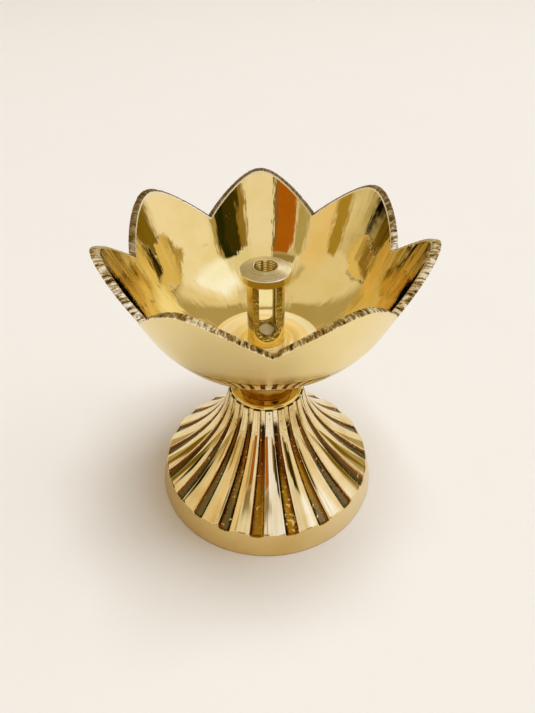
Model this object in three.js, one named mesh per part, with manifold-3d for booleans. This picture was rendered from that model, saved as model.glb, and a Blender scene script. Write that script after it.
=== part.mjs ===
// A pedestal diya: an open oil lamp with a seven-petalled lotus bowl on a
// fluted foot, and a screwed-in holder for the wick.
// All sizes are in millimetres and all angles in degrees. +Z is up, and the
// origin is the middle of the foot's underside. Angles about the axis are
// measured from -Y, the front, towards +X.

import * as THREE from 'three';
import { mergeVertices } from 'three/addons/utils/BufferGeometryUtils.js';
import Module from 'manifold-3d';

const wasm = await Module();
wasm.setup();

// Foot: a plain band below a fluted bell, and a collar on top
const FOOT_RADIUS = 40.5;
const BAND_TOP_RADIUS = 38.4;
const BAND_HEIGHT = 8.9;
const BELL_TOP_Z = 42.6;
const NECK_RADIUS = 13.2;
const NECK_FLARE = 4.2;
const BELL_POWER = 2;
const COLLAR_BASE_RADIUS = 12.5;
const COLLAR_TOP_RADIUS = 10.7;
const COLLAR_HEIGHT = 1.4;
const FOOT_WALL = 2.5;
const WEB_THICKNESS = 6;
const BOLT_ROOM_RADIUS = 10.2;

// Flutes: wide ribs with rounded grooves between them
const FLUTE_COUNT = 20;
const GROOVE_DEPTH = 1.1;
const GROOVE_DEPTH_AT_NECK = 0.5;
const GROOVE_SHARE = 0.42;
const RIB_ANGLE = -2.9;

// Bowl: a stem, a round belly and a straight flare cut into petals
const STEM_RADIUS = 9.4;
const STEM_HEIGHT = 13.5;
const STEM_FILLET = 2.2;
const BELLY_RADIUS = 37.7;
const BELLY_CENTRE_RADIUS = 4.8;
const FLARE_START_ANGLE = 66.25;
const NOTCH_HEIGHT = 9.9;
const TIP_HEIGHT = 22.8;
const FLOOR_THICKNESS = 5.5;
const BELLY_WALL = 2.9;
const RIM_WALL = 2.2;
const PETAL_COUNT = 7;
const PETAL_ROUNDNESS = 0.3;
const PETAL_ANGLE = -6.43;

// Wick holder: a slotted tube with a flange on top
const HOLDER_RADIUS = 6;
const HOLDER_HEIGHT = 25.8;
const HOLDER_BORE_RADIUS = 3.45;
const FLANGE_RADIUS = 8;
const FLANGE_THICKNESS = 2.5;
const FLANGE_DOME = 1.2;
const FLAT_DISTANCE = 3.9;
const FLAT_CUTTER_RADIUS = 7;
const FLAT_START = 7.5;
const SLOT_WIDTH = 5.4;
const SLOT_START = 3.6;
const WINDOW_TOP_GAP = 0.6;

// Clamp bolt, its two washers, and the washer below the wick holder
const BOLT_RADIUS = 3.95;
const BOLT_HOLE_CLEARANCE = 0.35;
const THREAD_CLEARANCE = 0.25;
const THREAD_RELIEF = 0.3;
const THREAD_ENGAGEMENT = 3.6;
const BOLT_HEAD_FLATS = 13;
const BOLT_HEAD_HEIGHT = 5.3;
const SEAL_WASHER_RADIUS = 6.2;
const SEAL_WASHER_THICKNESS = 0.9;
const PLAIN_WASHER_RADIUS = 8.4;
const PLAIN_WASHER_THICKNESS = 1.6;
const SPRING_WASHER_RADIUS = 6.6;
const SPRING_WASHER_THICKNESS = 2;
const SPRING_WASHER_SLIT = 1.2;

// Facets around the axis
const STEPS_PER_FLUTE = 8;
const STEPS_PER_PETAL = 12;
const ROUND_STEPS = 40;
const BELL_STEPS = 8;
const BELLY_STEPS = 7;

// Heights that follow from the sizes above
const COLLAR_TOP_Z = BELL_TOP_Z + COLLAR_HEIGHT;
const WEB_UNDERSIDE_Z = COLLAR_TOP_Z - WEB_THICKNESS;
const BELLY_BOTTOM_Z = COLLAR_TOP_Z + STEM_HEIGHT;
const BELLY_CENTRE_Z = BELLY_BOTTOM_Z + BELLY_RADIUS;
const FLOOR_Z = BELLY_BOTTOM_Z + FLOOR_THICKNESS;
const HOLDER_Z = FLOOR_Z + SEAL_WASHER_THICKNESS;
const BOLT_TIP_Z = HOLDER_Z + THREAD_ENGAGEMENT;
const BOLT_HOLE_RADIUS = BOLT_RADIUS + BOLT_HOLE_CLEARANCE;

const metal = (color, roughness) => new THREE.MeshStandardMaterial({ color, roughness, metalness: 1 });

const radians = THREE.MathUtils.degToRad;

// Turns a closed profile of [radius, height] points about +Z.
function turned(profile, steps, startAngle = 0) {
  const points = [...profile, profile[0]].map(([radius, height]) => new THREE.Vector2(radius, height));
  const geometry = new THREE.LatheGeometry(points, steps, radians(startAngle));
  geometry.rotateX(Math.PI / 2);
  return geometry;
}

// Merges the shared points, so that the surface is one closed body.
function welded(geometry) {
  const bare = geometry.clone();
  bare.deleteAttribute('normal');
  bare.deleteAttribute('uv');
  return mergeVertices(bare, 1e-4);
}

function solid(geometry) {
  const closed = welded(geometry);
  const index = closed.getIndex();
  const mesh = new wasm.Mesh({
    numProp: 3,
    vertProperties: new Float32Array(closed.getAttribute('position').array),
    triVerts: new Uint32Array(index.array),
  });
  return new wasm.Manifold(mesh);
}

function geometryOf(body) {
  const mesh = body.getMesh();
  const geometry = new THREE.BufferGeometry();
  geometry.setAttribute('position', new THREE.BufferAttribute(mesh.vertProperties, 3));
  geometry.setIndex(new THREE.BufferAttribute(mesh.triVerts, 1));
  geometry.computeVertexNormals();
  return geometry;
}

// Calls move(angle, radius, height) for each point and takes back [radius, height].
function reshaped(geometry, move) {
  const position = geometry.getAttribute('position');
  for (let i = 0; i < position.count; i += 1) {
    const x = position.getX(i);
    const y = position.getY(i);
    const angle = Math.atan2(x, -y);
    const [radius, height] = move(angle, Math.hypot(x, y), position.getZ(i));
    position.setXYZ(i, radius * Math.sin(angle), -radius * Math.cos(angle), height);
  }
  geometry.computeVertexNormals();
  return geometry;
}

// The bell's outline, from its foot at share 0 to its neck at share 1.
function bellPoint(share) {
  const rest = 1 - share;
  const spread = BAND_TOP_RADIUS - NECK_RADIUS - NECK_FLARE;
  const radius = NECK_RADIUS + NECK_FLARE * rest + spread * rest ** BELL_POWER;
  return new THREE.Vector2(radius, BAND_HEIGHT + (BELL_TOP_Z - BAND_HEIGHT) * share);
}

// The unit vector that leads from the outline straight into the metal.
function bellInward(share) {
  const step = 0.001;
  const along = bellPoint(share + step).sub(bellPoint(share - step)).normalize();
  return new THREE.Vector2(-along.y, along.x);
}

function bellInside(share) {
  return bellPoint(share).addScaledVector(bellInward(share), FOOT_WALL);
}

function grooveDepth(angle, share) {
  const turns = (angle - radians(RIB_ANGLE)) * FLUTE_COUNT / (2 * Math.PI);
  const fromRib = Math.abs(turns - Math.round(turns)) * 2;
  const across = (1 - fromRib) / GROOVE_SHARE;
  const depth = THREE.MathUtils.lerp(GROOVE_DEPTH, GROOVE_DEPTH_AT_NECK, share);
  return across < 1 ? depth * (1 - across ** 2) : 0;
}

function pedestalFoot() {
  const shares = Array.from({ length: BELL_STEPS + 1 }, (_, i) => (i / BELL_STEPS) ** 1.5);
  const outside = shares.map((share) => bellPoint(share).toArray());
  const inside = [0, 0.1, 0.25, 0.45, 0.7, 1].map(bellInside)
    .filter((point) => point.x > BOLT_ROOM_RADIUS && point.y < WEB_UNDERSIDE_Z && point.y > 0)
    .map((point) => point.toArray())
    .reverse();
  const taper = FOOT_RADIUS - BAND_TOP_RADIUS;
  const profile = [
    [FOOT_RADIUS - FOOT_WALL, 0],
    [FOOT_RADIUS, 0],
    [FOOT_RADIUS - taper * 0.98, BAND_HEIGHT * 0.98],
    ...outside,
    [COLLAR_BASE_RADIUS, BELL_TOP_Z],
    [COLLAR_TOP_RADIUS, COLLAR_TOP_Z],
    [BOLT_HOLE_RADIUS, COLLAR_TOP_Z],
    [BOLT_HOLE_RADIUS, WEB_UNDERSIDE_Z],
    [BOLT_ROOM_RADIUS, WEB_UNDERSIDE_Z],
    ...inside,
  ];
  const steps = FLUTE_COUNT * STEPS_PER_FLUTE;
  const geometry = turned(profile, steps, RIB_ANGLE);
  // The grooves run out through the band's top edge, so its highest points drop with them.
  const fluted = (angle, radius, height) => {
    const share = THREE.MathUtils.clamp((height - BAND_HEIGHT) / (BELL_TOP_Z - BAND_HEIGHT), 0, 1);
    const outside = height > BAND_HEIGHT * 0.95 && radius > bellPoint(share).x - 1e-3;
    if (!outside) return [radius, height];
    const cut = bellInward(share).multiplyScalar(grooveDepth(angle, share));
    return [height < BAND_HEIGHT ? radius : radius + cut.x, height + cut.y];
  };
  return reshaped(geometry, fluted);
}

// How high the rim stands at an angle: 0 in a notch, 1 at a petal's tip.
function petalShare(angle) {
  const turns = (angle - radians(PETAL_ANGLE)) * PETAL_COUNT / (2 * Math.PI);
  const fromTip = 1 - Math.abs(turns - Math.round(turns)) * 2;
  const fall = (share) => Math.hypot(share, PETAL_ROUNDNESS) - PETAL_ROUNDNESS;
  return 1 - fall(fromTip) / fall(1);
}

function lotusBowl() {
  const start = radians(FLARE_START_ANGLE);
  const belly = (wall, angle) => [
    BELLY_CENTRE_RADIUS + (BELLY_RADIUS - wall) * Math.sin(angle),
    BELLY_CENTRE_Z - (BELLY_RADIUS - wall) * Math.cos(angle),
  ];
  const flareSlope = Math.cos(start) / Math.sin(start);
  const flareZ = belly(0, start)[1];
  const insideFlareZ = belly(RIM_WALL, start)[1];
  const topZ = flareZ + TIP_HEIGHT;
  const flare = (wall, height) => belly(wall, start)[0] + flareSlope * (height - belly(wall, start)[1]);
  const fromStem = Math.asin((STEM_RADIUS + STEM_FILLET - BELLY_CENTRE_RADIUS) / BELLY_RADIUS);
  const floorAngle = Math.acos((BELLY_CENTRE_Z - FLOOR_Z) / (BELLY_RADIUS - BELLY_WALL));
  const shares = Array.from({ length: BELLY_STEPS + 1 }, (_, i) => i / BELLY_STEPS);
  const outside = shares.map((share) => belly(0, THREE.MathUtils.lerp(fromStem, start, share)));
  const inside = shares.map((share) => belly(
    THREE.MathUtils.lerp(BELLY_WALL, RIM_WALL, share),
    THREE.MathUtils.lerp(floorAngle, start, share),
  )).reverse();
  const flareHeights = [1 / 3, 2 / 3, 1];
  const profile = [
    [BOLT_HOLE_RADIUS, COLLAR_TOP_Z],
    [STEM_RADIUS, COLLAR_TOP_Z],
    [STEM_RADIUS, belly(0, fromStem)[1] - STEM_FILLET],
    [STEM_RADIUS + STEM_FILLET * 0.3, belly(0, fromStem)[1] - STEM_FILLET * 0.45],
    ...outside,
    ...flareHeights.map((share) => [flare(0, flareZ + TIP_HEIGHT * share), flareZ + TIP_HEIGHT * share]),
    ...flareHeights.map((share) => {
      const height = THREE.MathUtils.lerp(insideFlareZ, topZ, share);
      return [flare(RIM_WALL, height), height];
    }).reverse(),
    ...inside,
    [BOLT_HOLE_RADIUS, FLOOR_Z],
  ];
  const geometry = turned(profile, PETAL_COUNT * STEPS_PER_PETAL, PETAL_ANGLE);
  // The flare's points slide down its slope until the rim follows the petals.
  const petalled = (angle, radius, height) => {
    const outer = radius > flare(RIM_WALL / 2, height);
    const base = outer ? flareZ : insideFlareZ;
    if (height < base + 1e-3) return [radius, height];
    const rimZ = flareZ + THREE.MathUtils.lerp(NOTCH_HEIGHT, TIP_HEIGHT, petalShare(angle));
    const moved = base + (height - base) * (rimZ - base) / (topZ - base);
    return [flare(outer ? 0 : RIM_WALL, moved), moved];
  };
  return reshaped(geometry, petalled);
}

// A cylinder that lies along one axis and is centred on the given point.
function bar(radius, length, axis, x, y, z) {
  const geometry = new THREE.CylinderGeometry(radius, radius, length, ROUND_STEPS);
  if (axis === 'x') geometry.rotateZ(Math.PI / 2);
  geometry.translate(x, y, z);
  return solid(geometry);
}

function block(width, depth, height, x, y, bottom) {
  const geometry = new THREE.BoxGeometry(width, depth, height);
  geometry.translate(x, y, bottom + height / 2);
  return solid(geometry);
}

function wickHolder() {
  const top = HOLDER_Z + HOLDER_HEIGHT;
  const underFlange = top - FLANGE_THICKNESS;
  const windowTop = underFlange - WINDOW_TOP_GAP;
  const flatZ = HOLDER_Z + FLAT_START;
  const slotZ = HOLDER_Z + SLOT_START + SLOT_WIDTH / 2;
  let body = solid(turned([
    [HOLDER_BORE_RADIUS, HOLDER_Z],
    [HOLDER_RADIUS, HOLDER_Z],
    [HOLDER_RADIUS, underFlange],
    [FLANGE_RADIUS, underFlange],
    [FLANGE_RADIUS, top],
    [HOLDER_BORE_RADIUS, top + FLANGE_DOME],
  ], ROUND_STEPS));
  const across = 3 * HOLDER_RADIUS;
  for (const side of [-1, 1]) {
    const middle = side * (FLAT_DISTANCE + FLAT_CUTTER_RADIUS);
    const depth = 2 * FLAT_CUTTER_RADIUS;
    body = body.subtract(block(across, depth, windowTop - flatZ, 0, middle, flatZ));
    body = body.subtract(bar(FLAT_CUTTER_RADIUS, across, 'x', 0, middle, flatZ));
  }
  body = body.subtract(block(SLOT_WIDTH, across, windowTop - slotZ, 0, 0, slotZ));
  body = body.subtract(bar(SLOT_WIDTH / 2, across, 'y', 0, 0, slotZ));
  return geometryOf(body);
}

function ring(radius, hole, thickness, bottom) {
  const top = bottom + thickness;
  return turned([[hole, bottom], [radius, bottom], [radius, top], [hole, top]], ROUND_STEPS);
}

function sealWasher() {
  return ring(SEAL_WASHER_RADIUS, BOLT_HOLE_RADIUS, SEAL_WASHER_THICKNESS, FLOOR_Z);
}

function plainWasher() {
  const bottom = WEB_UNDERSIDE_Z - PLAIN_WASHER_THICKNESS;
  return ring(PLAIN_WASHER_RADIUS, BOLT_HOLE_RADIUS, PLAIN_WASHER_THICKNESS, bottom);
}

function springWasher() {
  const bottom = WEB_UNDERSIDE_Z - PLAIN_WASHER_THICKNESS - SPRING_WASHER_THICKNESS;
  const body = solid(ring(SPRING_WASHER_RADIUS, BOLT_HOLE_RADIUS, SPRING_WASHER_THICKNESS, bottom));
  const slit = block(2 * SPRING_WASHER_RADIUS, SPRING_WASHER_SLIT, 3 * SPRING_WASHER_THICKNESS,
    SPRING_WASHER_RADIUS, 0, bottom - SPRING_WASHER_THICKNESS);
  return geometryOf(body.subtract(slit));
}

function clampBolt() {
  const headTop = WEB_UNDERSIDE_Z - PLAIN_WASHER_THICKNESS - SPRING_WASHER_THICKNESS;
  const rootRadius = HOLDER_BORE_RADIUS - THREAD_CLEARANCE;
  const shoulderZ = HOLDER_Z - THREAD_RELIEF;
  const corner = BOLT_HEAD_FLATS / 2 / Math.cos(Math.PI / 6);
  const head = new THREE.CylinderGeometry(corner, corner, BOLT_HEAD_HEIGHT, 6);
  head.rotateX(Math.PI / 2);
  head.translate(0, 0, headTop - BOLT_HEAD_HEIGHT / 2);
  const shank = turned([
    [0, headTop - BOLT_HEAD_HEIGHT / 2],
    [BOLT_RADIUS, headTop - BOLT_HEAD_HEIGHT / 2],
    [BOLT_RADIUS, shoulderZ],
    [rootRadius, shoulderZ],
    [rootRadius, BOLT_TIP_Z],
    [0, BOLT_TIP_Z],
  ], ROUND_STEPS);
  return geometryOf(solid(head).add(solid(shank)));
}

function named(name, geometry, material) {
  const mesh = new THREE.Mesh(geometry, material);
  mesh.name = name;
  return mesh;
}

const diya = new THREE.Group();
diya.add(
  named('pedestal_foot', pedestalFoot(), metal(0xd9b56a, 0.12)),
  named('lotus_bowl', lotusBowl(), metal(0xd2aa58, 0.1)),
  named('wick_holder', wickHolder(), metal(0xd6b065, 0.2)),
  named('seal_washer', sealWasher(), metal(0xc9a052, 0.3)),
  named('clamp_bolt', clampBolt(), metal(0xb8b8b4, 0.35)),
  named('plain_washer', plainWasher(), metal(0xb4b5b3, 0.35)),
  named('spring_washer', springWasher(), metal(0x9a9b9a, 0.4)),
);

export default diya;
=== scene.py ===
import math

import bmesh
import bpy
from mathutils import Matrix, Vector, noise


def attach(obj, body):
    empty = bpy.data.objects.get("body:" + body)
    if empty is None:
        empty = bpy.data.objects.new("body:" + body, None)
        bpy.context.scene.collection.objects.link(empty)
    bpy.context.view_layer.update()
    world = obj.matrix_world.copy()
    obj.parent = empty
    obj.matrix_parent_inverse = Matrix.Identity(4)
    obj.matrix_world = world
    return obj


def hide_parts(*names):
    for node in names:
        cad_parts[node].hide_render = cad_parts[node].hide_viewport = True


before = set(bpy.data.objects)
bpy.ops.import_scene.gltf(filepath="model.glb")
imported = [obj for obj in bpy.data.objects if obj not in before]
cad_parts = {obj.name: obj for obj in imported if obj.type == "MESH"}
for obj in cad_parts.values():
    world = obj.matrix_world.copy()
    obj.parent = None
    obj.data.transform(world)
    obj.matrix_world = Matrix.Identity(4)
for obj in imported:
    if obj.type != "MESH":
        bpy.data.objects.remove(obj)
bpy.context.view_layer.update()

MM = 0.001

# Sizes in millimetres, as in the solids
FOOT_RADIUS = 40.5
BAND_TOP_RADIUS = 38.4
BAND_HEIGHT = 8.9
BELL_TOP = 42.6
NECK_RADIUS = 13.2
NECK_FLARE = 4.2
COLLAR_RADIUS = 12.5
COLLAR_TOP = 44.0
FOOT_WALL = 2.5
WEB_UNDERSIDE = 38.0
BOLT_ROOM_RADIUS = 10.2
BOLT_HOLE_RADIUS = 4.3
FLUTES = 20
RIB_ANGLE = math.radians(-2.9)
GROOVE_SHARE = 0.42
GROOVE_DEPTH = 1.1
NECK_GROOVE_DEPTH = 0.5

STEM_RADIUS = 9.4
STEM_FILLET = 2.2
BELLY_CENTRE = (4.8, 95.2)
BELLY_RADIUS = 37.7
BELLY_WALL = 2.9
BELLY_BOTTOM = 57.5
FLARE_ANGLE = math.radians(66.25)
RIM_WALL = 2.2
FLOOR_Z = 63.0
NOTCH_Z = 89.9
TIP_Z = 102.8
PETALS = 7
PETAL_ANGLE = math.radians(-6.43)
PETAL_ROUNDNESS = 0.3

HOLDER_Z = 63.9
HOLDER_TOP = 89.7
HOLDER_RADIUS = 6.0
BORE_RADIUS = 3.45
FLANGE_RADIUS = 8.0
FLANGE_Z = 87.2
FLAT_DISTANCE = 3.9
FLAT_CUTTER_RADIUS = 7.0
FLAT_START = 7.5
SLOT_RADIUS = 2.7
SLOT_CENTRE = 6.3
WINDOW_TOP_GAP = 0.6
THREAD_PITCH = 0.8

BOLT_RADIUS = 3.95
BOLT_TIP = 67.5
HEAD_CORNER_RADIUS = 7.506
HEAD_HEIGHT = 5.3
SEAL_WASHER_RADIUS = 6.2
PLAIN_WASHER_RADIUS = 8.4
PLAIN_WASHER_UNDERSIDE = 36.4
SPRING_WASHER_RADIUS = 6.6
SPRING_WASHER_UNDERSIDE = 34.4

# The camera stands this far round from the front, towards -X
CAMERA_ANGLE = math.radians(-8.43)


# Meshes

def polar(point):
    """Azimuth, which is 0 in front and a quarter turn at +X; radius and height in millimetres."""
    return math.atan2(point.x, -point.y), math.hypot(point.x, point.y) / MM, point.z / MM


def spot(turn, radius, height):
    """The point with that azimuth, radius and height."""
    return radius * math.sin(turn) * MM, -radius * math.cos(turn) * MM, height * MM


def arc(centre, radius, start, end, steps):
    """Points on a circle in the profile's plane; angle 0 points down, 90 outwards."""
    angles = [math.radians(start + (end - start) * i / steps) for i in range(steps + 1)]
    return [(centre[0] + radius * math.sin(a), centre[1] - radius * math.cos(a)) for a in angles]


def spun(profile, steps, sectors=8, closed=True):
    """A profile of (radius, height) in millimetres, turned round the axis: one sector and its copies."""
    bm = bmesh.new()
    verts = [bm.verts.new(spot(0, r, z)) for r, z in profile]
    ends = verts[1:] + verts[:1] if closed else verts[1:]
    edges = [bm.edges.new(pair) for pair in zip(verts, ends)]
    sector = 2 * math.pi / sectors
    bmesh.ops.spin(bm, geom=verts + edges, cent=(0, 0, 0), axis=(0, 0, 1), dvec=(0, 0, 0),
                   angle=sector, steps=steps // sectors, use_merge=False, use_duplicate=False)
    whole = list(bm.verts) + list(bm.edges) + list(bm.faces)
    bmesh.ops.spin(bm, geom=whole, cent=(0, 0, 0), axis=(0, 0, 1), dvec=(0, 0, 0),
                   angle=sector * (sectors - 1), steps=sectors - 1, use_merge=False, use_duplicate=True)
    bmesh.ops.remove_doubles(bm, verts=bm.verts, dist=1e-6)
    bmesh.ops.recalc_face_normals(bm, faces=bm.faces)
    return bm


def reshape(bm, move):
    """Moves each point to the radius and height that move(azimuth, radius, height) gives."""
    for v in bm.verts:
        turn, radius, height = polar(v.co)
        v.co = spot(turn, *move(turn, radius, height))


def bevel(bm, edges, offset, segments, material=-1, clamp=False):
    """Material is the number of the new faces' finish; -1 leaves them with their neighbours'."""
    bmesh.ops.bevel(bm, geom=edges, offset=offset * MM, offset_type="OFFSET", affect="EDGES",
                    segments=segments, profile=0.5, material=material, clamp_overlap=clamp)


def paint(bm, finishes, choose):
    """Gives each face the finish that choose(face, centre) names; the centre is in millimetres."""
    bm.normal_update()
    for face in bm.faces:
        face.material_index = finishes.index(choose(face, face.calc_center_median() / MM))


def faces_out(face, centre):
    """Whether the face looks away from the lamp's axis."""
    return face.normal.x * centre.x + face.normal.y * centre.y > 0


def smooth(mesh, sharp):
    """Only the edges that bend by more than sharp degrees stay sharp."""
    mesh.shade_smooth()
    mesh.set_sharp_from_angle(angle=math.radians(sharp))


def placed(name, data):
    """A new object in the scene."""
    obj = bpy.data.objects.new(name, data)
    bpy.context.collection.objects.link(obj)
    return obj


def piece(name, bm, finishes, body, nodes, sharp=30):
    """A visible piece that moves with its body and stands in for the solids called nodes."""
    mesh = bpy.data.meshes.new(name)
    bm.normal_update()
    bm.to_mesh(mesh)
    bm.free()
    for finish in finishes:
        mesh.materials.append(finish)
    smooth(mesh, sharp)
    obj = placed(name, mesh)
    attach(obj, body)
    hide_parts(*nodes)
    return obj


# Shader maths

# The azimuth is measured along an arc of this radius
TURN_RADIUS = 40.0


class Tone:
    """A node's output that takes part in Python expressions."""

    def __init__(self, nodes, socket):
        self.nodes = nodes
        self.socket = socket

    def math(self, operation, *values):
        return self.nodes.node("ShaderNodeMath", {"operation": operation}, dict(enumerate(values)))

    def __add__(self, other):
        return self.math("ADD", self, other)

    def __sub__(self, other):
        return self.math("SUBTRACT", self, other)

    def __rsub__(self, other):
        return self.math("SUBTRACT", other, self)

    def __mul__(self, other):
        return self.math("MULTIPLY", self, other)

    def __pow__(self, other):
        return self.math("POWER", self, other)

    def absolute(self):
        return self.math("ABSOLUTE", self)

    def between(self, low, high, start=0.0, end=1.0):
        """Runs from start at low to end at high, and stays there outside."""
        settings = {"clamp": True, "interpolation_type": "SMOOTHSTEP"}
        values = {0: self, 1: low, 2: high, 3: start, 4: end}
        return self.nodes.node("ShaderNodeMapRange", settings, values)


class Nodes:
    """The nodes of a material or of the world."""

    def __init__(self, owner):
        self.owner = owner
        owner.use_nodes = True
        self.tree = owner.node_tree
        self.tree.nodes.clear()

    def node(self, kind, settings=None, values=None, out=0):
        made = self.tree.nodes.new(kind)
        for key, value in (settings or {}).items():
            setattr(made, key, value)
        for key, value in (values or {}).items():
            socket = made.inputs[key]
            if isinstance(value, Tone):
                self.tree.links.new(value.socket, socket)
            else:
                socket.default_value = value
        return Tone(self, made.outputs[out]) if made.outputs else None

    def vector_math(self, operation, values, out=0):
        return self.node("ShaderNodeVectorMath", {"operation": operation}, values, out)

    def parts(self, vector):
        split = self.node("ShaderNodeSeparateXYZ", None, {0: vector}).socket.node
        return [Tone(self, socket) for socket in split.outputs]

    def joined(self, x, y, z):
        return self.node("ShaderNodeCombineXYZ", None, {0: x, 1: y, 2: z})

    def blend(self, share, one, other):
        """A colour that runs from one to the other."""
        return self.node("ShaderNodeMix", {"data_type": "RGBA"}, {0: share, 6: one, 7: other}, 2)


class Finish(Nodes):
    """One material. It knows the place on the piece, all in millimetres: x, y, z, radius and turn."""

    def __init__(self, name):
        super().__init__(bpy.data.materials.new(name))
        here = self.node("ShaderNodeTexCoord", None, None, "Object")
        self.place = self.vector_math("SCALE", {0: here, "Scale": 1 / MM})
        self.x, self.y, self.z = self.parts(self.place)
        self.radius = (self.x * self.x + self.y * self.y) ** 0.5
        self.turn = self.x.math("ARCTAN2", self.x, self.y * -1.0) * TURN_RADIUS

    def attribute(self, name):
        return self.node("ShaderNodeAttribute", {"attribute_name": name}, None, "Fac")

    def speckle(self, vector, size, detail, rough=0.5):
        """Noise from 0 to 1 whose blots are about size across."""
        values = {"Vector": vector, "Scale": 1.0 / size, "Detail": detail, "Roughness": rough}
        return self.node("ShaderNodeTexNoise", {"noise_dimensions": "3D"}, values)

    def streaks(self, x, y, z, detail, rough=0.5):
        """Noise drawn out along the directions that were scaled down."""
        return self.speckle(self.joined(x, y, z), 1.0, detail, rough)

    def surface(self, colour, rough, height, distance, metal=1.0):
        """The material. Height from 0 to 1 stands for distance in millimetres."""
        bump = {"Height": height, "Distance": distance * MM, "Strength": 1.0}
        normal = self.node("ShaderNodeBump", None, bump)
        values = {"Base Color": colour, "Metallic": metal, "Roughness": rough, "Normal": normal}
        shader = self.node("ShaderNodeBsdfPrincipled", None, values)
        self.node("ShaderNodeOutputMaterial", None, {"Surface": shader})
        return self.owner


# Finishes

PALE_BRASS = (0.90, 0.74, 0.35, 1)
DEEP_BRASS = (0.86, 0.69, 0.28, 1)
DARK_BRASS = (0.16, 0.09, 0.02, 1)
# Worn brass; also painted light on the band's lit side and a painted highlight on the front ribs
WORN_AND_LIT_BRASS = (0.96, 0.85, 0.58, 1)
BRIGHT_BRASS = (1.00, 0.93, 0.74, 1)
SHADED_BRASS = (0.44, 0.26, 0.05, 1)
# Painted shade on the bowl's polished underside
SHADED_UNDERSIDE_BRASS = (0.56, 0.38, 0.075, 1)
# Painted dark reflection on the left and right of the bowl's inside
SIDE_REFLECTION_STREAK = (0.30, 0.22, 0.03, 1)
# Grime; also painted shade in the grooves and on their nearer walls
GRIME_AND_SHADE = (0.018, 0.010, 0.004, 1)

RIB_PALE = (0.92, 0.77, 0.43, 1)
RIB_DEEP = (0.82, 0.63, 0.27, 1)
RIB_NECK = (0.66, 0.46, 0.15, 1)
RIB_STREAK = (0.55, 0.36, 0.10, 1)
# Tarnish in the grooves with painted reflection; also the deep tone of the shaded brass, painted shade
GOLD_TARNISH_AND_SHADE = (0.40, 0.20, 0.012, 1)
# Painted reflection at the sides of the grooves
SIDE_REFLECTION_OLIVE = (0.15, 0.13, 0.05, 1)
# Brown tarnish, and painted shade on the grooves' farther walls
BROWN_TARNISH_AND_SHADE = (0.20, 0.06, 0.005, 1)
BARE_FLECK = (0.95, 0.68, 0.22, 1)
BAND_PALE = (0.80, 0.60, 0.25, 1)
BAND_DEEP = (0.72, 0.51, 0.19, 1)
COLLAR_PALE = (0.84, 0.64, 0.22, 1)
COLLAR_DEEP = (0.62, 0.42, 0.10, 1)
SAND_PALE = (0.60, 0.45, 0.20, 1)
SAND_DEEP = (0.42, 0.30, 0.13, 1)

FILED_SHADOW = (0.035, 0.022, 0.006, 1)
FILED_BRASS = (0.42, 0.28, 0.09, 1)
# Painted shade on the back of the petals' edge
FILED_SHADE_BEHIND = (0.17, 0.10, 0.015, 1)
DISH_PALE = (1.0, 0.92, 0.62, 1)
DISH_LINE = (1.0, 0.74, 0.27, 1)
DISH_RING = (1.0, 0.68, 0.20, 1)

TUBE_PALE = (0.86, 0.66, 0.20, 1)
TUBE_DEEP = (0.62, 0.44, 0.08, 1)
OILY_DARK = (0.24, 0.15, 0.010, 1)
OILY_GOLD = (0.70, 0.46, 0.08, 1)
FLANGE_GOLD = (0.68, 0.50, 0.11, 1)
FACE_PALE = (0.92, 0.86, 0.70, 1)
FACE_DEEP = (0.70, 0.60, 0.38, 1)
THREAD_PALE = (0.80, 0.66, 0.26, 1)
THREAD_DEEP = (0.42, 0.30, 0.05, 1)
CUT_BRASS = (0.38, 0.26, 0.03, 1)

ZINC_PALE = (0.62, 0.62, 0.60, 1)
ZINC_DEEP = (0.50, 0.51, 0.52, 1)
# Painted reflection of the brass on the steel bolt's end
BOLT_END_REFLECTION_PALE = (1.0, 0.90, 0.55, 1)
BOLT_END_REFLECTION_DEEP = (0.95, 0.74, 0.30, 1)

# Height of the line where the bowl's brushed outside ends and its polished underside starts; the underside
# is painted darker as shade
UNDERSIDE_TOP = 76.8

# Height on the tube up to which it stayed bright
BRIGHT_FOOT_TOP = 69.8

# What the foot's points are marked with: nearness of a groove's edge, depth in it, and which side of it
# seen from the camera, for the painted shade on the grooves' walls
GROOVE_MARKS = ("edge", "hollow", "far")


def polish(made, pale, deep):
    """Colour, roughness and height of polished casting: faint buffing lines and a few pits."""
    cloud = made.speckle(made.place, 9.0, 3.0)
    buff = made.streaks(made.turn * 2.2, made.z * 0.12, made.radius * 0.12, 4.0)
    pits = made.speckle(made.place, 0.42, 1.0).between(0.765, 0.80)
    colour = made.blend(cloud.between(0.35, 0.7), pale, deep)
    colour = made.blend(pits * 0.7, colour, DARK_BRASS)
    return colour, buff * 0.05 + cloud * 0.03 + pits * 0.3 + 0.01, buff * 0.003 - pits * 0.08


def mirror_brass(name, wave, pale, deep, streaked=0.0):
    """A mirror that the polishing wheel left wavy; streaked is how much its left and right run dark with a
    painted dark reflection.
    """
    made = Finish(name)
    colour, rough, fine = polish(made, pale, deep)
    pulls = made.streaks(made.turn * 0.35, made.z * 0.05, made.radius * 0.05, 3.0)
    waves = made.speckle(made.place, 7.0, 2.0)
    running_streaks = made.streaks(made.turn * 0.8, made.z * 0.04, made.radius * 0.04, 3.0)
    # Painted reflection: ragged dark streaks on the left and right
    sides = (made.x.absolute() + pulls * 10.0).between(38.0, 50.0)
    colour = made.blend(sides * running_streaks.between(0.42, 0.56, 0.5, 1.0) * streaked, colour, SIDE_REFLECTION_STREAK)
    return made.surface(colour, rough, waves * 0.7 + pulls * 0.5 + fine, wave)


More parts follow.
